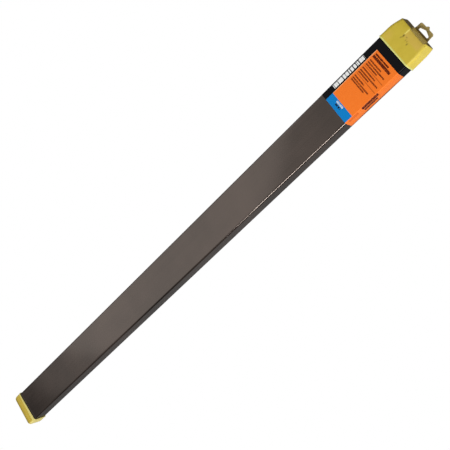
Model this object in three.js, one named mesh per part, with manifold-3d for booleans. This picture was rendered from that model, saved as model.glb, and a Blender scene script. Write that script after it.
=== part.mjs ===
// Storage case for a 48 in spirit level: a long rectangular plastic tube with a push-on cap at each end.
// Millimetres. X runs along the case towards the hanging tab, Y across the wide face, Z up from the back.
// The case lies on its back: the flat undersides of the two caps are at Z = 0.
import * as THREE from "three";
import { mergeVertices } from "three/addons/utils/BufferGeometryUtils.js";
import Module from "manifold-3d";

const wasm = await Module();
wasm.setup();

// Tube: inside 72.6 x 30.6 mm, so that a 1219 mm long spirit level slides in.
const TUBE_WIDTH = 76.2;
const TUBE_DEPTH = 34.2;
const TUBE_WALL = 1.8;
const TUBE_CORNER = 3.2;
const VISIBLE_LENGTH = 1200;
const INTO_TOP_CAP = 32;
const INTO_BOTTOM_CAP = 15;

// Caps: soft mouldings pushed over the tube.
const CAP_WALL = 1.6;
const CAP_GAP = 0.3;
const CAP_PROUD = CAP_WALL + CAP_GAP;
const TOP_END_WALL = 6.4;
const BOTTOM_END_WALL = 3.2;
const TOP_CAP_LENGTH = 52;
const BOTTOM_CAP_LENGTH = 25;
const LIP_PROUD = 0.45;
const LIP_LENGTH = 2.6;

// Hanging tab, an ear in line with the back wall of the top cap.
const TAB_WIDTH = 34.2;
const TAB_ROOT_WIDTH = 36.4;
const TAB_LENGTH = 14;
const TAB_PEAK = 3.6;
const TAB_THICKNESS = 2.4;
const TAB_RIM = 0.8;
const TAB_OFFSET_Y = -1.1;
const TAB_CORNER = 3.4;
const HOLE_BASE = 23.4;
const HOLE_SHOULDER = 2.6;
const HOLE_HEIGHT = 7.4;
const HOLE_FROM_ROOT = 1.8;
const SAG_DEPTH = 4.7;
const SAG_WIDTH = 40;
const SAG_OFFSET_Y = -8;

// Printed film label on the front and on both narrow sides, up to the mouth of the top cap.
const LABEL_LENGTH = 145;
const LABEL_THICKNESS = 0.18;
const LABEL_GAP = 0.1;
const LABEL_ABOVE_BACK = 4;
const LABEL_FROM_MOUTH = 0.6;

const HALF = VISIBLE_LENGTH / 2;
const BACK = CAP_PROUD;
const FRONT = BACK + TUBE_DEPTH;
const LOW_X = -HALF - BOTTOM_CAP_LENGTH;
const HIGH_X = HALF + TOP_CAP_LENGTH + 0.3 + TAB_LENGTH + TAB_PEAK;
const CENTRE_X = (LOW_X + HIGH_X) / 2;

// One station of a loft: a rounded rectangle at x, from z0 to z1, with corner radius r.
// Each side leans in by `lean` on its way from the back to the front.
const station = (x, halfWidth, z0, z1, r, lean = 0) => ({ x, halfWidth, z0, z1, r, lean });

function ring({ x, halfWidth, z0, z1, r, lean }, steps = 6) {
  const corners = [
    [halfWidth - r, z1 - r, 0],
    [-halfWidth + r, z1 - r, 1],
    [-halfWidth + r, z0 + r, 2],
    [halfWidth - r, z0 + r, 3],
  ];
  const points = [];
  for (const [y, z, quarter] of corners) {
    for (let i = 0; i <= steps; i++) {
      const angle = ((quarter + i / steps) * Math.PI) / 2;
      const up = z + r * Math.sin(angle);
      const narrowed = 1 - ((lean / halfWidth) * (up - z0)) / (z1 - z0);
      points.push([x, (y + r * Math.cos(angle)) * narrowed, up]);
    }
  }
  return points;
}

// A closed solid through a row of stations in order of rising x.
function loft(stations) {
  const rings = stations.map((s) => ring(s));
  const n = rings[0].length;
  const positions = rings.flat(2);
  const faces = [];
  for (let i = 0; i + 1 < rings.length; i++) {
    for (let j = 0; j < n; j++) {
      const a = i * n + j;
      const b = i * n + ((j + 1) % n);
      faces.push(a, b, b + n, a, b + n, a + n);
    }
  }
  const first = stations[0];
  const last = stations[stations.length - 1];
  const low = positions.length / 3;
  positions.push(first.x, 0, (first.z0 + first.z1) / 2);
  positions.push(last.x, 0, (last.z0 + last.z1) / 2);
  const top = (rings.length - 1) * n;
  for (let j = 0; j < n; j++) {
    const k = (j + 1) % n;
    faces.push(low, k, j, low + 1, top + j, top + k);
  }
  const geometry = new THREE.BufferGeometry();
  geometry.setAttribute("position", new THREE.Float32BufferAttribute(positions, 3));
  geometry.setIndex(faces);
  return solid(geometry);
}

function solid(geometry) {
  const bare = new THREE.BufferGeometry();
  bare.setAttribute("position", geometry.getAttribute("position"));
  if (geometry.index) bare.setIndex(geometry.index);
  const merged = mergeVertices(bare, 1e-4);
  return new wasm.Manifold(
    new wasm.Mesh({
      numProp: 3,
      vertProperties: new Float32Array(merged.attributes.position.array),
      triVerts: new Uint32Array(merged.index.array),
    }),
  );
}

function box(x0, x1, y0, y1, z0, z1) {
  const geometry = new THREE.BoxGeometry(x1 - x0, y1 - y0, z1 - z0);
  geometry.translate((x0 + x1) / 2, (y0 + y1) / 2, (z0 + z1) / 2);
  return solid(geometry);
}

// A flat outline in X and Y raised from z0 to z1.
function raise(shape, z0, z1) {
  const geometry = new THREE.ExtrudeGeometry(shape, {
    depth: z1 - z0,
    bevelEnabled: false,
    curveSegments: 6,
  });
  geometry.translate(0, 0, z0);
  return solid(geometry);
}

function mesh(name, made, colour, roughness) {
  const { vertProperties, triVerts, numProp } = made.getMesh();
  const geometry = new THREE.BufferGeometry();
  const positions = new Float32Array((vertProperties.length / numProp) * 3);
  for (let i = 0; i < positions.length / 3; i++) {
    positions.set(vertProperties.subarray(i * numProp, i * numProp + 3), i * 3);
  }
  geometry.setAttribute("position", new THREE.BufferAttribute(positions, 3));
  geometry.setIndex(new THREE.BufferAttribute(new Uint32Array(triVerts), 1));
  geometry.translate(-CENTRE_X, 0, 0);
  const flat = geometry.toNonIndexed();
  flat.computeVertexNormals();
  const material = new THREE.MeshStandardMaterial({ color: colour, roughness, metalness: 0 });
  const made3d = new THREE.Mesh(flat, material);
  made3d.name = name;
  return made3d;
}

// Tube, extruded in one length, open at both ends.
function caseTube() {
  const x0 = -HALF - INTO_BOTTOM_CAP;
  const x1 = HALF + INTO_TOP_CAP;
  const w = TUBE_WIDTH / 2;
  const t = TUBE_WALL;
  const r = TUBE_CORNER;
  const outside = loft([station(x0, w, BACK, FRONT, r), station(x1, w, BACK, FRONT, r)]);
  const inside = loft([
    station(x0 - 5, w - t, BACK + t, FRONT - t, r - t),
    station(x1 + 5, w - t, BACK + t, FRONT - t, r - t),
  ]);
  return outside.subtract(inside);
}

// A cap seen from its mouth: rolled lip, straight skirt, then a rounded closed end.
// profile lists [distance from the mouth, drop of each side, drop of the front, corner radius, lean of the sides].
function cap(length, profile, endWall, direction) {
  const w = TUBE_WIDTH / 2 + CAP_PROUD;
  const top = FRONT + CAP_PROUD;
  const across = (d, side, front, r, lean) => station(d, w - side, 0, top - front, r, lean);
  const outer = [
    across(0, -LIP_PROUD * 0.5, -LIP_PROUD * 0.5, 4.8),
    across(0.6, -LIP_PROUD, -LIP_PROUD, 5),
    across(LIP_LENGTH - 0.6, -LIP_PROUD, -LIP_PROUD, 5),
    across(LIP_LENGTH, 0, 0, 4.6),
    ...profile.map((row) => across(...row)),
  ];
  const hollow = (d, side, front, r, lean) => {
    const radius = Math.max(r - CAP_WALL, 1);
    return station(d, w - CAP_WALL - side, CAP_WALL, top - CAP_WALL - front, radius, lean);
  };
  const inner = [
    hollow(-5, 0, 0, 4.6),
    ...profile.filter(([d]) => d < length - endWall - 0.5).map((row) => hollow(...row)),
  ];
  const deepest = inner[inner.length - 1];
  inner.push({
    ...deepest,
    x: length - endWall,
    halfWidth: deepest.halfWidth - 1.5,
    z1: deepest.z1 - 1.5,
  });
  const turned = (stations) =>
    direction > 0
      ? stations.map((s) => ({ ...s, x: HALF + s.x }))
      : stations.map((s) => ({ ...s, x: -HALF - s.x })).reverse();
  return loft(turned(outer)).subtract(loft(turned(inner)));
}

function topCap() {
  const profile = [
    [12, 0, 0, 4.8, 0],
    [33, 0, 0, 4.9, 0.2],
    [40, 0.3, 0.2, 6.2, 2],
    [45, 0.8, 0.5, 6.6, 3.2],
    [49, 1.4, 1.2, 6.8, 4],
    [51.2, 2.4, 2.4, 6.6, 4.2],
    [TOP_CAP_LENGTH, 3.8, 4, 6, 4.2],
  ];
  const body = cap(TOP_CAP_LENGTH, profile, TOP_END_WALL, 1);
  // Shallow sag of the end, in front of the tab.
  const sag = new THREE.Shape();
  const x = HALF + TOP_CAP_LENGTH;
  const z = FRONT + CAP_PROUD;
  sag.moveTo(x - SAG_DEPTH - 0.3, z + 1);
  sag.lineTo(x - SAG_DEPTH, z - 1.5);
  sag.lineTo(x + 0.4, z - 34);
  sag.lineTo(x + 3, z + 1);
  const wedge = new THREE.ExtrudeGeometry(sag, { depth: SAG_WIDTH, bevelEnabled: false });
  wedge.rotateX(Math.PI / 2);
  wedge.translate(0, SAG_OFFSET_Y + SAG_WIDTH / 2, 0);
  return body.subtract(solid(wedge));
}

function bottomCap() {
  const profile = [
    [16, 0, 0, 4.8],
    [19, 0.4, 0.2, 5],
    [22, 1.6, 0.9, 5.6],
    [24, 3.8, 2.2, 6.4],
    [BOTTOM_CAP_LENGTH, 6.2, 4, 6.4],
  ];
  return cap(BOTTOM_CAP_LENGTH, profile, BOTTOM_END_WALL, -1);
}

// House-shaped outline of the hanging hole, or of the collar round it when grown.
function houseOutline(grow) {
  const x = HALF + TOP_CAP_LENGTH + 0.3 + HOLE_FROM_ROOT - grow;
  const half = HOLE_BASE / 2 + grow;
  const shape = new THREE.Shape();
  shape.moveTo(x, TAB_OFFSET_Y - half);
  shape.lineTo(x + HOLE_SHOULDER + grow, TAB_OFFSET_Y - half);
  shape.lineTo(x + HOLE_HEIGHT + 2 * grow, TAB_OFFSET_Y);
  shape.lineTo(x + HOLE_SHOULDER + grow, TAB_OFFSET_Y + half);
  shape.lineTo(x, TAB_OFFSET_Y + half);
  shape.closePath();
  return shape;
}

function hangTab() {
  const x0 = HALF + TOP_CAP_LENGTH + 0.3;
  const x1 = x0 + TAB_LENGTH;
  const y = TAB_OFFSET_Y;
  const w = TAB_WIDTH / 2;
  const c = TAB_CORNER;
  const shape = new THREE.Shape();
  shape.moveTo(x0, y - TAB_ROOT_WIDTH / 2);
  shape.quadraticCurveTo(x0 + 2, y - w, x0 + 4, y - w);
  shape.lineTo(x1 - c, y - w);
  shape.quadraticCurveTo(x1, y - w, x1, y - w + c);
  shape.lineTo(x1, y - 4.6);
  shape.quadraticCurveTo(x1 + TAB_PEAK * 0.35, y - 3, x1 + TAB_PEAK - 0.6, y - 1.2);
  shape.quadraticCurveTo(x1 + TAB_PEAK + 0.6, y, x1 + TAB_PEAK - 0.6, y + 1.2);
  shape.quadraticCurveTo(x1 + TAB_PEAK * 0.35, y + 3, x1, y + 4.6);
  shape.lineTo(x1, y + w - c);
  shape.quadraticCurveTo(x1, y + w, x1 - c, y + w);
  shape.lineTo(x0 + 4, y + w);
  shape.quadraticCurveTo(x0 + 2, y + w, x0, y + TAB_ROOT_WIDTH / 2);
  shape.closePath();
  const plate = raise(shape, 0, TAB_THICKNESS);
  const collar = raise(houseOutline(1.5), TAB_THICKNESS - 0.5, TAB_THICKNESS + TAB_RIM);
  return plate.add(collar).subtract(raise(houseOutline(0), -1, TAB_THICKNESS + 3));
}

function label() {
  const x1 = HALF - LABEL_FROM_MOUTH;
  const x0 = HALF - LABEL_LENGTH;
  const g = LABEL_GAP;
  const t = LABEL_GAP + LABEL_THICKNESS;
  const w = TUBE_WIDTH / 2;
  const r = TUBE_CORNER;
  const outside = loft([
    station(x0, w + t, BACK - t, FRONT + t, r + t),
    station(x1, w + t, BACK - t, FRONT + t, r + t),
  ]);
  const inside = loft([
    station(x0 - 5, w + g, BACK - g, FRONT + g, r + g),
    station(x1 + 5, w + g, BACK - g, FRONT + g, r + g),
  ]);
  const kept = box(x0 - 5, x1 + 5, -w - 5, w + 5, BACK + LABEL_ABOVE_BACK, FRONT + 5);
  return outside.subtract(inside).intersect(kept);
}

const part = new THREE.Group();
part.name = "spirit_level_storage_case";
part.add(
  mesh("case_tube", caseTube(), 0x5a524e, 0.45),
  mesh("top_cap", topCap(), 0xd8b92e, 0.5),
  mesh("hang_tab", hangTab(), 0x8c7a3e, 0.4),
  mesh("bottom_cap", bottomCap(), 0xcdb03c, 0.5),
  mesh("label", label(), 0xf87a2c, 0.35),
);

export default part;
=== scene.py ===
"""Storage case for a 48 in spirit level: a rectangular tube, two push-on caps, a hanging tab and a label.

Metres. X runs along the case towards the hanging tab, Y across the wide face, Z up from the back it lies on.
The tube and the caps are stacks of rings: each ring is a rounded rectangle, and the rings follow one another
along the wall, out over an edge and back, so that each is one closed skin with a real wall thickness.
"""

import math

import bpy
import numpy as np
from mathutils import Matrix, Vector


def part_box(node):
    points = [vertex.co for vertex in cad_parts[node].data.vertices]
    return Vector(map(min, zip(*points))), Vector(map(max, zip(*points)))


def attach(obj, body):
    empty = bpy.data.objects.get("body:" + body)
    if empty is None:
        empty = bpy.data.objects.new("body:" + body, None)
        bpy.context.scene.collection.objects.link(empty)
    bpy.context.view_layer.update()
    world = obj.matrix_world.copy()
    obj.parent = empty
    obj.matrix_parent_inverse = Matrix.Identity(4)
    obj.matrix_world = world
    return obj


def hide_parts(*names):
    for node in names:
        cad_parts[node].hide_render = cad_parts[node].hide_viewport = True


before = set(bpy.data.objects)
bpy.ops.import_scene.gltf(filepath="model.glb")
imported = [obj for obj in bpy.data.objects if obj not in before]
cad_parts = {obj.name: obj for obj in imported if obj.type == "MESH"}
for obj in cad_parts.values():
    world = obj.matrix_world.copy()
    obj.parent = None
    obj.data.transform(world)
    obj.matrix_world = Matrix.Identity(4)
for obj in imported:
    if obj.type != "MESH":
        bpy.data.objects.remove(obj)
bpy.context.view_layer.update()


# Camera
# The case runs away from the viewer, its hanging end near the lens and at the upper right of the view.
camera_data = bpy.data.cameras.new("viewpoint")
camera_data.lens = 55.98
camera_data.sensor_width = 36.0
camera_data.shift_x = 0.0007
camera_data.shift_y = 0.0082
camera_data.clip_start = 0.05
camera_data.clip_end = 50
camera = bpy.data.objects.new("viewpoint", camera_data)
camera.location = (0.70079, -0.48423, 1.24647)
camera.rotation_euler = tuple(math.radians(a) for a in (-0.78586, 31.85823, -39.40051))
bpy.context.scene.collection.objects.link(camera)
bpy.context.scene.camera = camera


# Floor and light
# A white floor that holds no shadow, a pale surround and soft panels, as on a product table.
class Socket:
    """One output of a shader tree, on which + - * < > build Math nodes."""

    def __init__(self, tree, out):
        self.tree = tree
        self.out = out

    def math(self, operation, *values):
        return self.tree.node("ShaderNodeMath", {"operation": operation}, *values)

    def __add__(self, other):
        return self.math("ADD", self, other)

    def __radd__(self, other):
        return self.math("ADD", other, self)

    def __sub__(self, other):
        return self.math("SUBTRACT", self, other)

    def __rsub__(self, other):
        return self.math("SUBTRACT", other, self)

    def __mul__(self, other):
        return self.math("MULTIPLY", self, other)

    def __rmul__(self, other):
        return self.math("MULTIPLY", other, self)

    def __gt__(self, other):
        return self.math("GREATER_THAN", self, other)

    def __lt__(self, other):
        return self.math("LESS_THAN", self, other)


class Finish:
    """A material whose tree is written as expressions; node() adds a node, tint() blends two colours."""

    def __init__(self, name):
        self.material = bpy.data.materials.new(name)
        self.material.use_nodes = True
        self.nodes = self.material.node_tree.nodes
        self.links = self.material.node_tree.links
        self.nodes.clear()
        self.output = self.nodes.new("ShaderNodeOutputMaterial")

    def node(self, kind, settings=None, *values, out=0, **named):
        """A new node's output; values fill its inputs in order, or by name with _ for each space."""
        made = self.nodes.new(kind)
        for key, value in (settings or {}).items():
            setattr(made, key, value)
        pairs = list(enumerate(values)) + [(k.replace("_", " "), v) for k, v in named.items()]
        for key, value in pairs:
            if isinstance(value, Socket):
                self.links.new(value.out, made.inputs[key])
            else:
                made.inputs[key].default_value = value
        return Socket(self, made.outputs[out])

    def tint(self, share, base, other):
        """Colour `base` where share is 0 and `other` where it is 1."""
        made = self.nodes.new("ShaderNodeMix")
        made.data_type = "RGBA"
        for key, value in ((0, share), (6, base), (7, other)):
            if isinstance(value, Socket):
                self.links.new(value.out, made.inputs[key])
            else:
                made.inputs[key].default_value = value
        return Socket(self, made.outputs[2])

    def place(self):
        """The surface point as a vector, in metres."""
        return self.node("ShaderNodeTexCoord", out=3)

    def parts(self, vector):
        """The X, Y and Z of a vector."""
        split = self.node("ShaderNodeSeparateXYZ", None, vector)
        return [Socket(self, part) for part in split.out.node.outputs]

    def vector(self, x, y, z):
        return self.node("ShaderNodeCombineXYZ", None, x, y, z)

    def stretched(self, where, factors):
        return self.node("ShaderNodeMapping", None, where, Scale=factors)

    def noise(self, where, scale, detail, rough):
        texture = "ShaderNodeTexNoise"
        return self.node(texture, None, Vector=where, Scale=scale, Detail=detail, Roughness=rough)

    def fade(self, value, start, stop, low=0.0, high=1.0):
        """`low` where the value is at `start`, `high` where it is at `stop`, and a smooth S between them."""
        smooth = {"interpolation_type": "SMOOTHSTEP"}
        return self.node("ShaderNodeMapRange", smooth, value, start, stop, low, high)

    def marked(self, name):
        """The number that mark() has kept with the mesh under this name."""
        return self.node("ShaderNodeAttribute", {"attribute_name": name}, out=2)

    def bump(self, strength, height):
        return self.node("ShaderNodeBump", None, Strength=strength, Distance=0.0002, Height=height)

    def surface(self, **sockets):
        """The finished material: one Principled shader with these inputs."""
        shader = self.node("ShaderNodeBsdfPrincipled", None, **sockets)
        self.links.new(shader.out, self.output.inputs["Surface"])
        return self.material


def srgb(r, g, b):
    """A colour given as 0 to 255 display values, turned to linear light."""
    share = np.array([r, g, b]) / 255
    linear = np.where(share <= 0.04045, share / 12.92, ((share + 0.055) / 1.055) ** 2.4)
    return (*map(float, linear), 1.0)


def grid_mesh(name, points, around=True, closed=False, poles=False):
    """A mesh from a K by N grid of points.

    Rows follow the wall and columns go round it. `closed` joins the last row to the first, and `poles` shuts
    the first and last rows with a fan to the mean of their points.
    """
    rows, columns = points.shape[:2]
    index = np.arange(rows * columns).reshape(rows, columns)
    ahead = np.roll(index, -1, axis=0) if closed else index[1:]
    here = index if closed else index[:-1]
    if around:
        quads = np.stack([here, np.roll(here, -1, axis=1), np.roll(ahead, -1, axis=1), ahead], axis=-1)
    else:
        quads = np.stack([here[:, :-1], here[:, 1:], ahead[:, 1:], ahead[:, :-1]], axis=-1)
    quads = quads.reshape(-1, 4)
    vertices = points.reshape(-1, 3)
    faces = [quads.tolist()]
    if poles:
        low, high = len(vertices), len(vertices) + 1
        vertices = np.vstack([vertices, points[0].mean(axis=0), points[-1].mean(axis=0)])
        first, last = index[0], index[-1]
        faces.append(np.stack([np.full(columns, low), np.roll(first, -1), first], axis=-1).tolist())
        faces.append(np.stack([np.full(columns, high), last, np.roll(last, -1)], axis=-1).tolist())
    mesh = bpy.data.meshes.new(name)
    mesh.from_pydata(vertices.tolist(), [], sum(faces, []))
    mesh.polygons.foreach_set("use_smooth", np.ones(len(mesh.polygons), dtype=bool))
    mesh.update()
    piece = bpy.data.objects.new(name, mesh)
    bpy.context.scene.collection.objects.link(piece)
    return piece


floor_finish = Finish("white_table")
floor_glow = floor_finish.node("ShaderNodeEmission", None, (1, 1, 1, 1), 1.0)
floor_finish.links.new(floor_glow.out, floor_finish.output.inputs["Surface"])
floor_reach = 6
floor_drop = -0.0005
floor_steps = np.linspace(-floor_reach, floor_reach, 25)
floor_points = np.stack(np.meshgrid(floor_steps, floor_steps, [floor_drop], indexing="ij"), axis=-1)[:, :, 0]
floor = grid_mesh("table_top", floor_points[:, ::-1], around=False)
floor.data.materials.append(floor_finish.material)
floor.visible_glossy = False

# A white dome closes the view above the table; it lights nothing and casts no shade.
dome_radius = 5.9
dome_turn = np.linspace(0, 2 * math.pi, 64, endpoint=False)
dome_turn, dome_rise = np.meshgrid(dome_turn, np.linspace(-0.02, 1.5, 16))
dome_points = dome_radius * np.stack(
    [np.cos(dome_turn) * np.cos(dome_rise), np.sin(dome_turn) * np.cos(dome_rise), np.sin(dome_rise)], axis=-1
)
dome = grid_mesh("white_dome", dome_points[::-1], poles=True)
dome.data.materials.append(floor_finish.material)
for ray in ("diffuse", "glossy", "transmission", "volume_scatter", "shadow"):
    setattr(dome, "visible_" + ray, False)

# The surround is pale overhead, dark from above the horizon down to it, and half lit below. Each step gives
# the height in the surround, 0 straight down and 1 straight up, and the grey there.
surround_steps = (
    (0.0, 0.24),
    (0.09, 0.26),
    (0.16, 0.18),
    (0.45, 0.12),
    (0.54, 0.015),
    (0.74, 0.02),
    (0.85, 0.28),
    (1.0, 0.36),
)
surround = bpy.data.worlds.new("pale_surround")
surround.use_nodes = True
sky = surround.node_tree
towards = sky.nodes.new("ShaderNodeTexCoord")
height = sky.nodes.new("ShaderNodeSeparateXYZ")
half_way = sky.nodes.new("ShaderNodeMapRange")
half_way.inputs["From Min"].default_value = -1
levels = sky.nodes.new("ShaderNodeValToRGB")
for place, level in surround_steps[1:-1]:
    levels.color_ramp.elements.new(place)
for stop, (place, level) in zip(levels.color_ramp.elements, surround_steps):
    stop.color = (level, level, level, 1)
sky.links.new(towards.outputs["Generated"], height.inputs[0])
sky.links.new(height.outputs["Z"], half_way.inputs["Value"])
sky.links.new(half_way.outputs[0], levels.inputs[0])
sky.links.new(levels.outputs[0], sky.nodes["Background"].inputs[0])
bpy.context.scene.world = surround
bpy.context.scene.view_settings.view_transform = "Standard"


def panel(name, shape, place, aim, width, height, power):
    """A soft light of the given shape at `place`, facing `aim`, its width level."""
    light = bpy.data.lights.new(name, "AREA")
    light.shape = shape
    light.size = width
    light.size_y = height
    light.energy = power
    made = bpy.data.objects.new(name, light)
    made.location = place
    away = np.array(place, dtype=float) - np.array(aim, dtype=float)
    made.rotation_euler = (
        math.acos(away[2] / np.linalg.norm(away)),
        0.0,
        math.atan2(away[1], away[0]) + math.pi / 2,
    )
    bpy.context.scene.collection.objects.link(made)


# Two overhead ovals, one inside the other, so that their sheen fades out towards the ends of the tube.
panel("overhead_oval", "ELLIPSE", (-0.95, 1.25, 1.5), (-0.95, 1.24, 0), 2.1, 1.9, 6.5)
panel("overhead_halo", "ELLIPSE", (-0.95, 1.25, 1.55), (-0.95, 1.24, 0), 2.7, 2.5, 7)
panel("side_strip", "RECTANGLE", (-0.13, -1.3, 1.45), (0.25, 0, 0.02), 1.0, 0.40, 36)


# Tube
# A plastic extrusion with a 1.8 mm wall, brownish grey, glossy and faintly mottled, cut square at both ends.
# The caps are pushed over its ends, the top one by 32 mm and the bottom one by 15 mm.
tube_low, tube_high = (np.array(corner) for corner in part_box("case_tube"))
tube_wall = 0.0018
tube_corner = 0.0032


def section_ring(half_width, z0, z1, radius, wide, narrow, turn=10):
    """Rounded rectangles in Y and Z, one for each entry of the arrays, each a loop from the +Y side upwards.

    A corner is a quarter circle of `turn` steps round its centre; between two corners `wide` or `narrow`
    points are spread evenly along the straight edge.
    """
    half_width, z0, z1, radius = (
        np.atleast_1d(np.asarray(a, dtype=float))[:, None] for a in (half_width, z0, z1, radius)
    )
    loops = []
    for quarter, straight in ((0, wide), (1, narrow), (2, wide), (3, narrow)):
        angle = (quarter + np.linspace(0, 1, turn + 1)) * math.pi / 2
        side = 1 if quarter in (0, 3) else -1
        level = z1 - radius if quarter < 2 else z0 + radius
        y = side * (half_width - radius) + radius * np.cos(angle)
        z = level + radius * np.sin(angle)
        next_side = 1 if quarter in (2, 3) else -1
        next_level = z1 - radius if quarter in (0, 3) else z0 + radius
        end_angle = (quarter + 1) * math.pi / 2
        y_end = next_side * (half_width - radius) + radius * math.cos(end_angle)
        z_end = next_level + radius * math.sin(end_angle)
        share = np.linspace(0, 1, straight + 2)[1:-1]
        loops.append(np.stack([y, z], axis=-1))
        loops.append(
            np.stack(
                [y[:, -1:] + (y_end - y[:, -1:]) * share, z[:, -1:] + (z_end - z[:, -1:]) * share],
                axis=-1,
            )
        )
    return np.concatenate(loops, axis=1)


def stack_rings(x, half_width, z0, z1, radius, **counts):
    """A grid of points: the rounded rectangle of each entry, at its own x."""
    flat = section_ring(half_width, z0, z1, radius, **counts)
    along = np.broadcast_to(np.asarray(x, dtype=float)[:, None], flat.shape[:2])
    return np.concatenate([along[..., None], flat], axis=-1)


# Out along the outside, over the cut end with its edges just broken, back along the inside and over the other
# end.
cut = 0.0003
tube_stations = 120
run = np.linspace(tube_low[0] + cut, tube_high[0] - cut, tube_stations)
tube_x = np.concatenate([[tube_low[0]], run, [tube_high[0]], [tube_high[0]], run[::-1], [tube_low[0]]])
skin_inset = np.concatenate([[cut], np.zeros(tube_stations), [cut]])
bore_inset = np.concatenate([[tube_wall - cut], np.full(tube_stations, tube_wall), [tube_wall - cut]])
tube_inset = np.concatenate([skin_inset, bore_inset])
tube_points = stack_rings(
    tube_x,
    tube_high[1] - tube_inset,
    tube_low[2] + tube_inset,
    tube_high[2] - tube_inset,
    tube_corner - tube_inset,
    wide=30,
    narrow=14,
)
tube = grid_mesh("tube", tube_points, closed=True)

tube_finish = Finish("satin_grey_plastic")
where = tube_finish.place()
x, y, _ = tube_finish.parts(where)
streaks = tube_finish.noise(tube_finish.stretched(where, (3, 160, 160)), 1.0, 4.0, 0.6)
clouds = tube_finish.noise(where, 9.0, 3.0, 0.55)
grain = tube_finish.noise(where, 1800.0, 2.0, 0.5)
tube_colour = tube_finish.tint(
    clouds * 2.6 + streaks * 0.8 - 1.2,
    srgb(16, 11, 9),
    srgb(46, 37, 33),
)
# A dark, rougher band is painted on the tube at the foot cap's mouth, which stands askew: painted shadow
# under the cap's lip.
foot_line = x + y * 0.065
mouth_shadow = tube_finish.fade(foot_line, -0.6150, -0.6182) * tube_finish.fade(foot_line, -0.6250, -0.6225)
tube_colour = tube_finish.tint(mouth_shadow, tube_colour, srgb(16, 15, 8))
scuffs = tube_finish.noise(tube_finish.stretched(where, (14, 420, 420)), 1.0, 5.0, 0.65)
tube_bump = tube_finish.bump(0.10, grain * 0.15 + streaks * 0.12 + scuffs * 0.1)
tube.data.materials.append(
    tube_finish.surface(
        Base_Color=tube_colour,
        Roughness=0.08 + streaks * 0.05 + clouds * 0.04 + mouth_shadow * 0.5,
        Specular_IOR_Level=0.95,
        Specular_Tint=(1.0, 0.84, 0.74, 1.0),
        Normal=tube_bump,
    )
)
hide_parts("case_tube")
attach(tube, "case")


# Label
# A printed film glued over the front and both narrow sides, 144 mm long, ending at the mouth of the top cap:
# orange field, blue panel at its foot, black band at its head and black strip along one edge.
label_low, label_high = (np.array(corner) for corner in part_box("label"))
film = 0.00018
film_gap = 0.0001
film_corner = tube_corner + film_gap + film
flank_count = 26
front_count = 70
film_stations = 100
bend = np.linspace(0, math.pi / 2, 13)[1:-1]
flank_z = np.linspace(label_low[2], label_high[2] - film_corner, flank_count)
front_y = np.linspace(label_high[1] - film_corner, film_corner - label_high[1], front_count)
film_yz = np.stack(
    [
        np.concatenate(
            [
                np.full(flank_count, label_high[1]),
                label_high[1] - film_corner + film_corner * np.cos(bend),
                front_y,
                film_corner - label_high[1] - film_corner * np.sin(bend),
                np.full(flank_count, -label_high[1]),
            ]
        ),
        np.concatenate(
            [
                flank_z,
                label_high[2] - film_corner + film_corner * np.sin(bend),
                np.full(front_count, label_high[2]),
                label_high[2] - film_corner + film_corner * np.cos(bend),
                flank_z[::-1],
            ]
        ),
    ],
    axis=-1,
)
film_x = np.linspace(label_low[0], label_high[0], film_stations)
film_points = np.concatenate(
    [
        np.broadcast_to(film_x[:, None, None], (film_stations, len(film_yz), 1)),
        np.broadcast_to(film_yz[None], (film_stations, *film_yz.shape)),
    ],
    axis=-1,
)
label = grid_mesh("label_film", film_points, around=False)
thicken = label.modifiers.new("film", "SOLIDIFY")
thicken.thickness = film
thicken.offset = -1

# Its own map, in metres: across is the distance along the case, up is the distance round the section from the
# middle of the front, positive towards +Y.
steps = np.linalg.norm(np.diff(film_yz, axis=0), axis=1)
round_section = np.concatenate([[0], np.cumsum(steps)])
round_section = round_section[-1] / 2 - round_section
flat_uv = np.stack(np.broadcast_arrays(film_x[:, None], round_section[None]), axis=-1).reshape(-1, 2)
corner_vertex = np.empty(len(label.data.loops), dtype=np.int32)
label.data.loops.foreach_get("vertex_index", corner_vertex)
unrolled = label.data.uv_layers.new(name="unrolled")
unrolled.data.foreach_set("uv", flat_uv[corner_vertex].astype(np.float32).ravel())

label_print = Finish("printed_film")
print_map = label_print.node("ShaderNodeUVMap", {"uv_map": "unrolled"})
along, across, _ = label_print.parts(print_map)
mm = 0.001


def patch(a0, a1, b0, b1):
    """1 inside the printed rectangle from a0 to a1 along the case and b0 to b1 across it, in millimetres."""
    return (along > a0 * mm) * (along < a1 * mm) * (across > b0 * mm) * (across < b1 * mm)


long_gaps = label_print.noise(label_print.vector(along * 240.0, across * 330.0, 0.0), 1.0, 2.0, 0.7)
short_gaps = label_print.noise(label_print.vector(along * 520.0, across * 1100.0, 3.0), 1.0, 1.0, 0.5)
worn = label_print.noise(label_print.place(), 140.0, 4.0, 0.6)

ink = srgb(92, 28, 8)
print_colour = label_print.tint(worn, srgb(248, 120, 34), srgb(252, 130, 46))
# Rows of meaningless strokes in place of small print. Each gives its place along the case, its height, its
# two ends across the case, and how dark it is.
small_print = [
    (553.9, 3.2, 19.8, -16.5, 1.0),
    (548.4, 5.4, 20.6, -27, 1.0),
    (539.7, 2.9, 19.4, -12, 0.85),
    (534.8, 2.9, 19.4, -27, 0.85),
    (530.1, 2.9, 19.4, -12, 0.85),
    (526.1, 1.8, 19.4, -33, 0.45),
    (521.5, 2.9, 19.4, -17, 0.85),
    (516.0, 2.9, 19.4, -30, 0.85),
    (511.6, 2.9, 19.4, -9.5, 0.85),
    (507.3, 1.8, 19.4, -34, 0.45),
    (502.0, 2.9, 19.4, -9, 0.85),
    (497.1, 2.9, 19.4, -26, 0.85),
    (493.0, 2.9, 19.4, -18, 0.85),
]
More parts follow.
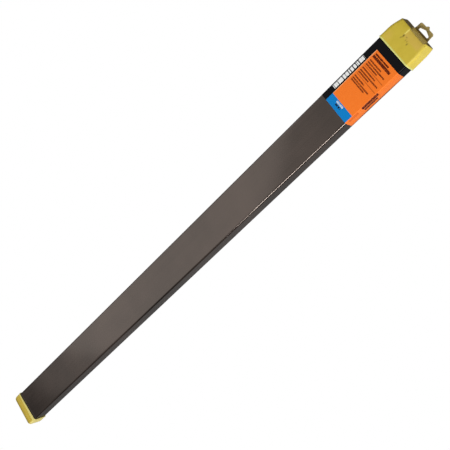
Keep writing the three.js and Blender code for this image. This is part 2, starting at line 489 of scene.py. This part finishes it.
# Two bolder rows on the narrow side, by their limits along the case and across it.
side_print = [
    (472.3, 511.5, -45, -36.5),
    (472.8, 504.5, -55.5, -47),
]
printed = patch(*side_print[0]) + patch(*side_print[1])
for centre, height, start, stop, strength in small_print:
    printed = printed + patch(centre - height / 2, centre + height / 2, stop, start) * strength
broken = (long_gaps > 0.36) * (short_gaps > 0.34)
print_colour = label_print.tint(printed * broken, print_colour, ink)
# A soft bar beside the corner, and the film's edge towards the back, browned by handling.
print_colour = label_print.tint(patch(439, 462, -45, -37) * 0.6, print_colour, srgb(206, 88, 14))
browned = label_print.fade(across, -0.0600, -0.0655)
browned_low = label_print.fade(along, 0.448, 0.475, 0.45, 0.85)
browned_high = label_print.fade(along, 0.520, 0.550, 1.0, 0.5)
print_colour = label_print.tint(browned * browned_low * browned_high, print_colour, srgb(100, 52, 16))
# A pale seam where the orange field meets the black strip.
print_colour = label_print.tint(patch(450, 560, 22.8, 24) * 0.6, print_colour, srgb(250, 196, 150))

blue_panel = patch(400, 450.4, -35.5, 24)
print_colour = label_print.tint(blue_panel, print_colour, srgb(4, 126, 200))
# A plain mark of one pale bar and one dark bar on the blue panel, broken up like the small print.
flecks = label_print.noise(label_print.vector(along * 60.0, across * 700.0, 11.0), 1.0, 1.0, 0.5)
pale_bar = patch(444.6, 448.4, -11.5, 6.5) * (flecks > 0.42)
print_colour = label_print.tint(pale_bar, print_colour, srgb(206, 216, 228))
dark_bar = patch(439.4, 443.4, -9, 4.5) * (flecks > 0.44)
print_colour = label_print.tint(dark_bar, print_colour, srgb(16, 24, 44))

# The black strip and band, and a row of plain white bars along the strip.
black = srgb(12, 12, 15)
print_colour = label_print.tint(patch(400, 600, 24, 90), print_colour, black)
print_colour = label_print.tint(patch(559.8, 600, -90, 90), print_colour, black)
bar_gaps = label_print.noise(label_print.vector(along * 420.0, 0.0, 7.0), 1.0, 1.0, 0.5)
white_bars = patch(458.5, 535.8, 27, 35) * (bar_gaps > 0.46)
print_colour = label_print.tint(white_bars, print_colour, srgb(240, 240, 238))
label.data.materials.append(
    label_print.surface(Base_Color=print_colour, Roughness=0.34 + worn * 0.1, Specular_IOR_Level=0.12)
)
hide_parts("label")
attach(label, "case")


# Top cap
# A soft yellow moulding 52 mm long with a 1.6 mm wall, pushed over the tube. A thin lip is rolled round its
# mouth, its end is closed and rounded over, and the end sags a little in front of the tab.
cap_low, cap_high = (np.array(corner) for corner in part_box("top_cap"))
lip = 0.00045
cap_half = cap_high[1] - lip
cap_top = cap_high[2] - lip
cap_wall = 0.0016
cap_clearance = 0.0002


def softened(values, times):
    """A row of numbers, each made the mean of itself and its neighbours, so many times, its ends held."""
    for _ in range(times):
        inner = (values[:-2] + values[1:-1] + values[2:]) / 3
        values = np.concatenate([values[:1], inner, values[-1:]])
    return values


def cap_rows(length, table, end_wall, outer_steps):
    """Rings of a cap from the middle of its inner end to its mouth, over the lip and on to its outer end.

    `table` lists, in millimetres, the distance from the mouth, how far each side and the front draw in there,
    and the corner radius. Returns x from the mouth and the four ring arrays, and a mask that is 1 on the
    outer skin.
    """
    lip_length = 0.0026
    rim_inset = 0.0011
    d, side, front, radius = (np.array(column, dtype=float) * mm for column in zip(*table))
    run = np.linspace(0, length, outer_steps)
    drawn = [softened(np.interp(run, d, column), 4) for column in (side, front, radius)]
    swell = lip * np.sqrt(np.clip(1 - ((run - lip_length / 2) / (lip_length / 2)) ** 2, 0, 1))
    outer = np.stack(
        [
            run,
            cap_half - drawn[0] + swell,
            np.zeros_like(run),
            cap_top - drawn[1] + swell,
            drawn[2],
        ]
    )
    inside = np.linspace(length - end_wall, 0.0006, 26)
    pulled = [np.interp(inside, run, column) for column in drawn]
    inner = np.stack(
        [
            inside,
            np.maximum(cap_half - cap_wall - pulled[0], tube_high[1] + cap_clearance),
            np.full_like(inside, cap_wall),
            np.maximum(cap_top - cap_wall - pulled[1], tube_high[2] + cap_clearance),
            np.clip(pulled[2] - cap_wall, 0.001, tube_corner + cap_clearance),
        ]
    )

    def closing(last, x, steps):
        """Rings at one x, from the last ring of a wall down to a small one at its middle."""
        shrink = np.linspace(1, 0.04, steps)[:, None]
        middle = (last[2] + last[3]) / 2
        rows = np.concatenate(
            [
                np.full_like(shrink, x),
                last[1] * shrink,
                middle + (last[2] - middle) * shrink,
                middle + (last[3] - middle) * shrink,
                last[4] * shrink,
            ],
            axis=1,
        )
        return rows.T

    inner_end = closing(inner[:, 0], inside[0], 16)[:, :0:-1]
    outer_end = closing(outer[:, -1], length, 40)[:, 1:]
    rim = np.array([[0.0001], [cap_half - rim_inset], [rim_inset], [cap_top - rim_inset], [0.0040]])
    hidden = np.concatenate([inner_end, inner, rim], axis=1)
    seen = np.concatenate([outer, outer_end], axis=1)
    skin = np.concatenate([np.zeros(hidden.shape[1]), np.ones(seen.shape[1])])
    return np.concatenate([hidden, seen], axis=1), skin


def ease(values, start, stop):
    """0 at start, 1 at stop, and a smooth S between them."""
    share = np.clip((values - start) / (stop - start), 0, 1)
    return share * share * (3 - 2 * share)


def mark(piece, name, values):
    """One number for each grid point, kept with the mesh; each pole takes the mean of the ring beside it."""
    held = piece.data.attributes.new(name, "FLOAT", "POINT")
    every = np.array([*values.ravel(), values[0].mean(), values[-1].mean()], dtype=np.float32)
    held.data.foreach_set("value", every)


def hollow(along_skin, across_skin, x, y, long, wide):
    """A smooth bell, 1 at x, y and falling off over `long` and `wide`, all in metres."""
    return np.exp(-(((along_skin - x) / long) ** 2) - ((across_skin - y) / wide) ** 2)


# The sides lean in towards the front near the end, and the corners are full.
top_table = [
    (0, 0, 0, 4.8),
    (3, 0, 0.3, 4.9),
    (12, 0, 0.3, 5.6),
    (33, 0, 0.3, 6.4),
    (45, 0.8, 0.6, 7),
    (49.5, 1.4, 1.0, 7),
    (51.2, 1.8, 1.5, 6.8),
    (51.8, 2.4, 2.1, 6.4),
    (52, 3.2, 2.9, 5.8),
]
rows, skin = cap_rows(length=0.052, table=top_table, end_wall=0.0048, outer_steps=150)
cap_points = stack_rings(cap_low[0] + rows[0], *rows[1:], wide=120, narrow=44, turn=10)
from_mouth = cap_points[..., 0] - cap_low[0]
px, py, pz = cap_points[..., 0], cap_points[..., 1], cap_points[..., 2]
outside = skin[:, None]
on_front = ease(pz, cap_top - 0.004, cap_top - 0.0012)
up = pz / cap_top
# How far round the section a point stands before the lean, for the sides, which are painted paler as painted
# light.
at_side = ease(np.abs(py), 0.0352, 0.0388)
py = py * (1 - 0.105 * up * ease(from_mouth, 0.020, 0.052))
# The end gives way in front of the tab, further to the -Y side at the front than at the back.
middle = -0.0005 - 0.0129 * up
sag = ease(py, middle - 0.0196, middle - 0.0180) * (1 - ease(py, middle + 0.0185, middle + 0.0212))
# The middle of the end face, in front of the tab: painted lighter there as painted light, while the shoulders
# either side are painted dark as painted shade.
end_tone = ease(py, middle - 0.0225, middle - 0.0165) * (1 - ease(py, middle + 0.0160, middle + 0.0225))
settled = ease(pz, 0.002, 0.034) * ease(from_mouth, 0.036, 0.050) * (1 - 0.65 * ease(-py, 0.028, 0.034))
px = px - (0.0026 + 0.0019 * sag) * settled - 0.0020 * (0.5 - py / 0.08) * ease(from_mouth, 0.030, 0.050)
# A fold down the front to the end, and the field beside it.
fold_reach = ease(from_mouth, 0.032, 0.036) * (1 - ease(from_mouth, 0.0485, 0.051))
fold = np.exp(-(((py - 0.0073) / 0.0011) ** 2)) * fold_reach
field = (1 - ease(py, 0.0045, 0.0072)) * ease(py, -0.036, -0.028) * ease(from_mouth, 0.026, 0.034)
# Small dents below the fold and in a row beside it: depth, place from the mouth, place across, and their
# length and width.
dent_table = [
    (1.3, 0.0313, 0.0068, 0.0030, 0.0014),
    (0.7, 0.0332, 0.0004, 0.0013, 0.0018),
    (0.9, 0.0255, -0.0092, 0.0022, 0.0012),
    (0.7, 0.0262, 0.0086, 0.0018, 0.0012),
    (0.6, 0.0290, -0.0020, 0.0016, 0.0010),
    (0.6, 0.0288, -0.0058, 0.0016, 0.0010),
]
dents = sum(depth * hollow(from_mouth, py, *shape) for depth, *shape in dent_table)
ripple = np.sin(px * 310 + py * 95) * np.sin(py * 170 + 1.3) + 0.6 * np.sin(px * 190 - py * 240 + 0.7)
lift = 0.00025 * fold - 0.0004 * dents + 0.00003 * ripple * ease(from_mouth, 0.004, 0.010)
pz = pz + outside * on_front * lift
side_ripple = np.sin(px * 260 + pz * 140 + 0.4) * 0.00006 * ease(from_mouth, 0.004, 0.012)
py = py - outside * np.sign(py) * (1 - on_front) * (side_ripple + 0.00006)
cap_points = np.stack([px, py, np.maximum(pz, 0.0)], axis=-1)
top_cap = grid_mesh("cap_with_lip", cap_points, poles=True)
# The end face, seen edge on, is painted dark at its shoulders as painted shade, and the dents on the front
# are painted dark as painted shade too.
end_wall_seen = ease(from_mouth, 0.0513, 0.0519) * outside
# Painted highlight: the crest of the fold is painted pale.
mark(top_cap, "pale", fold * on_front)
# The sides' share, where a paler colour is painted as painted light.
mark(top_cap, "side", at_side)
mark(top_cap, "dark", np.clip(end_wall_seen * (1 - end_tone) + 0.8 * dents * on_front * outside, 0, 1))
# The tan on the front field is the plastic's own tone; the tan on the middle of the end face is painted
# light.
stretched_patch = 0.9 * field + 0.8 * hollow(from_mouth, py, 0.012, 0.028, 0.009, 0.007)
mark(top_cap, "tan", np.clip(stretched_patch * on_front + 1.2 * end_wall_seen * end_tone, 0, 1.2))

yellow = Finish("yellow_soft_plastic")
where = yellow.place()
x, _, _ = yellow.parts(where)
mottle = yellow.noise(where, 60.0, 4.0, 0.55)
cloud = yellow.noise(where, 22.0, 2.0, 0.5)
fine = yellow.noise(where, 700.0, 2.0, 0.5)
cap_colour = yellow.tint(mottle, srgb(198, 174, 44), srgb(216, 192, 62))
# Tan: the front field's own tone, and painted light on the middle of the end face.
tan_and_end_light_share = yellow.marked("tan") * (cloud * 0.7 + 0.04)
cap_colour = yellow.tint(tan_and_end_light_share, cap_colour, srgb(222, 178, 96))
# The narrow sides are painted paler than the front, as painted light.
side_light_share = yellow.marked("side")
side_light_colour = yellow.tint(mottle, srgb(228, 200, 62), srgb(238, 216, 92))
cap_colour = yellow.tint(side_light_share, cap_colour, side_light_colour)
# A painted highlight along the crest of the fold.
fold_highlight_share = yellow.marked("pale")
cap_colour = yellow.tint(fold_highlight_share, cap_colour, srgb(250, 232, 120))
# Painted shade on the end face's shoulders and in the dents on the front.
painted_shade_share = yellow.marked("dark")
cap_colour = yellow.tint(painted_shade_share, cap_colour, srgb(110, 89, 32))
# The lip is thinner and paler.
at_lip = yellow.fade(x, 0.5812, 0.5796)
cap_colour = yellow.tint(at_lip, cap_colour, srgb(232, 230, 132))
cap_bump = yellow.bump(0.12, fine * 0.2 + mottle)
cap_roughness = 0.45 + mottle * 0.12 + painted_shade_share * 0.4 + tan_and_end_light_share * 0.2
top_cap.data.materials.append(
    yellow.surface(Base_Color=cap_colour, Roughness=cap_roughness, Normal=cap_bump)
)
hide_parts("top_cap")
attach(top_cap, "top_closure")


# Hanging tab
# A flat ear in line with the cap's back wall, moulded on to the cap's end. It has a house-shaped hole with a
# low bead round it, and a small peak at its outer edge.
tab_low, tab_high = (np.array(corner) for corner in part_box("hang_tab"))
tab_y = (tab_low[1] + tab_high[1]) / 2
tab_root = tab_low[0]
# Millimetres from the middle of the root: out along the case, then across it.
outline = np.array(
    [
        (-3.0, -18.4),
        (1.6, -17.9),
        (4.0, -17.5),
        (11.4, -17.2),
        (13.4, -16.0),
        (14.2, -13.4),
        (14.2, -4.4),
        (15.4, -3.0),
        (17.6, -0.9),
        (17.6, 0.9),
        (15.4, 3.0),
        (14.2, 4.4),
        (14.2, 13.4),
        (13.4, 16.0),
        (11.4, 17.2),
        (4.0, 17.5),
        (1.6, 17.9),
        (-3.0, 18.4),
    ]
)
hole = np.array([(1.8, -13.4), (5.6, -13.2), (9.6, -1.1), (5.6, 10.8), (1.8, 11.0)])
hole_middle = np.array([5.2, 0.0])
bearing = np.linspace(0, 2 * math.pi, 320, endpoint=False)


def reach(corners, rounding):
    """How far a ray from the hole's middle goes, at each bearing, to the closed outline, with soft corners.

    For each side of the outline the crossing is found from the cross products of ray and side, and the
    nearest crossing in front of the ray counts.
    """
    tiny = 1e-12
    slack = 1e-9
    beyond = 1e9
    start = corners - hole_middle
    side = np.roll(start, -1, axis=0) - start
    ray = np.stack([np.cos(bearing), np.sin(bearing)], axis=-1)[:, None]
    turn_rate = ray[..., 0] * side[:, 1] - ray[..., 1] * side[:, 0]
    turn_rate = np.where(np.abs(turn_rate) < tiny, tiny, turn_rate)
    far = (start[:, 0] * side[:, 1] - start[:, 1] * side[:, 0]) / turn_rate
    share = (start[:, 0] * ray[..., 1] - start[:, 1] * ray[..., 0]) / turn_rate
    far = np.where((share >= -slack) & (share <= 1 + slack) & (far > 0), far, beyond).min(axis=1)
    for _ in range(rounding):
        far = (np.roll(far, 1) + far + np.roll(far, -1)) / 3
    return far


edge_far = reach(outline, 2)
hole_far = reach(hole, 3)
# A closed loop across the band between the edge (0) and the hole (1): the share of the way, and the height in
# millimetres.
band = np.array(
    [
        (0.50, 0.0),
        (0.90, 0.0),
        (0.97, 0.1),
        (1.0, 0.4),
        (1.0, 1.4),
        (1.0, 2.5),
        (0.97, 3.0),
        (0.90, 3.2),
        (0.78, 3.2),
        (0.70, 3.0),
        (0.64, 2.4),
        (0.56, 2.0),
        (0.40, 1.95),
        (0.26, 2.0),
        (0.20, 2.3),
        (0.12, 2.5),
        (0.04, 2.4),
        (0.0, 2.0),
        (0.0, 1.2),
        (0.0, 0.4),
        (0.03, 0.1),
        (0.10, 0.0),
    ]
)
spoke = edge_far[:, None] + (hole_far - edge_far)[:, None] * band[:, 0]
tab_points = np.stack(
    [
        tab_root + mm * (hole_middle[0] + spoke * np.cos(bearing)[:, None]),
        tab_y + mm * (spoke * np.sin(bearing)[:, None]),
        np.broadcast_to(band[:, 1] * mm, spoke.shape),
    ],
    axis=-1,
)
tab = grid_mesh("hanging_ear", tab_points, closed=True)

olive = Finish("olive_amber_plastic")
blotch = olive.noise(olive.place(), 120.0, 3.0, 0.5)
tab_colour = olive.tint(blotch, srgb(158, 138, 74), srgb(206, 182, 116))
tab.data.materials.append(
    olive.surface(Base_Color=tab_colour, Roughness=0.38 + blotch * 0.1, Normal=olive.bump(0.3, blotch))
)
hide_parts("hang_tab")
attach(tab, "top_closure")


# Bottom cap
# The same moulding cut shorter, 25 mm long, pushed over the foot of the tube. Its end is closed and its
# corners are rounded over.
foot_low, foot_high = (np.array(corner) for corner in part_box("bottom_cap"))
foot_table = [
    (0, 0, 0, 4.8),
    (3, 0, 0, 4.7),
    (16, 0, 0, 5),
    (20, 0.4, 0.2, 5.4),
    (22.5, 1.6, 0.9, 6),
    (24.2, 3.8, 2.2, 6.4),
    (25, 6.2, 4, 6.4),
]
rows, skin = cap_rows(length=0.025, table=foot_table, end_wall=0.0032, outer_steps=90)
foot_points = stack_rings(foot_high[0] - rows[0], *rows[1:], wide=90, narrow=40, turn=10)[::-1]
foot_skin = skin[::-1, None]
fx, fy, fz = foot_points[..., 0], foot_points[..., 1], foot_points[..., 2]
away = ease(foot_high[0] - fx, 0.003, 0.008)
# The cap is pushed on a little askew: its mouth stands further up the tube on the -Y side.
foot_side = ease(-fy, 0.0345, 0.0385)
fx = fx + 0.0052 * (0.5 - fy / 0.08) * ease(fx, foot_low[0] - 0.012, foot_high[0])
wave = 0.00007 * (np.sin(fy * 190 + fx * 260) + 0.5 * np.sin(fy * 90 - fx * 340 + 1.0)) * away
fz = fz + foot_skin * ease(fz, cap_top - 0.004, cap_top - 0.0012) * wave
bottom_cap = grid_mesh("foot_cap", np.stack([fx, fy, fz], axis=-1), poles=True)
# The foot cap's sides are painted paler, as painted light.
mark(bottom_cap, "side", np.maximum(foot_side, ease(fy, 0.0345, 0.0385)))
# Painted shade: the cap is painted darker towards its closed end, less on the -Y side.
mark(bottom_cap, "painted_end_shade", ease(foot_high[0] - fx, 0.010, 0.023) * (1 - 0.6 * foot_side))

shaded_yellow = Finish("shaded_yellow_soft_plastic")
where = shaded_yellow.place()
x, _, _ = shaded_yellow.parts(where)
mottle = shaded_yellow.noise(where, 70.0, 4.0, 0.55)
fine = shaded_yellow.noise(where, 900.0, 2.0, 0.5)
# The foot cap's yellow is the top cap's moulding painted darker, as painted shade.
foot_colour = shaded_yellow.tint(mottle, srgb(180, 154, 46), srgb(198, 172, 64))
# Painted shade towards the closed end.
end_shade_share = shaded_yellow.marked("painted_end_shade")
foot_colour = shaded_yellow.tint(end_shade_share * 0.75, foot_colour, srgb(142, 122, 44))
# The sides are painted paler, as painted light.
side_light_share = shaded_yellow.marked("side")
foot_colour = shaded_yellow.tint(side_light_share * 0.8, foot_colour, srgb(226, 212, 132))
at_lip = shaded_yellow.fade(x, -0.6260, -0.6244)
foot_colour = shaded_yellow.tint(at_lip, foot_colour, srgb(212, 198, 116))
foot_bump = shaded_yellow.bump(0.15, fine * 0.2 + mottle)
bottom_cap.data.materials.append(
    shaded_yellow.surface(Base_Color=foot_colour, Roughness=0.44 + mottle * 0.1, Normal=foot_bump)
)
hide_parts("bottom_cap")
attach(bottom_cap, "bottom_closure")
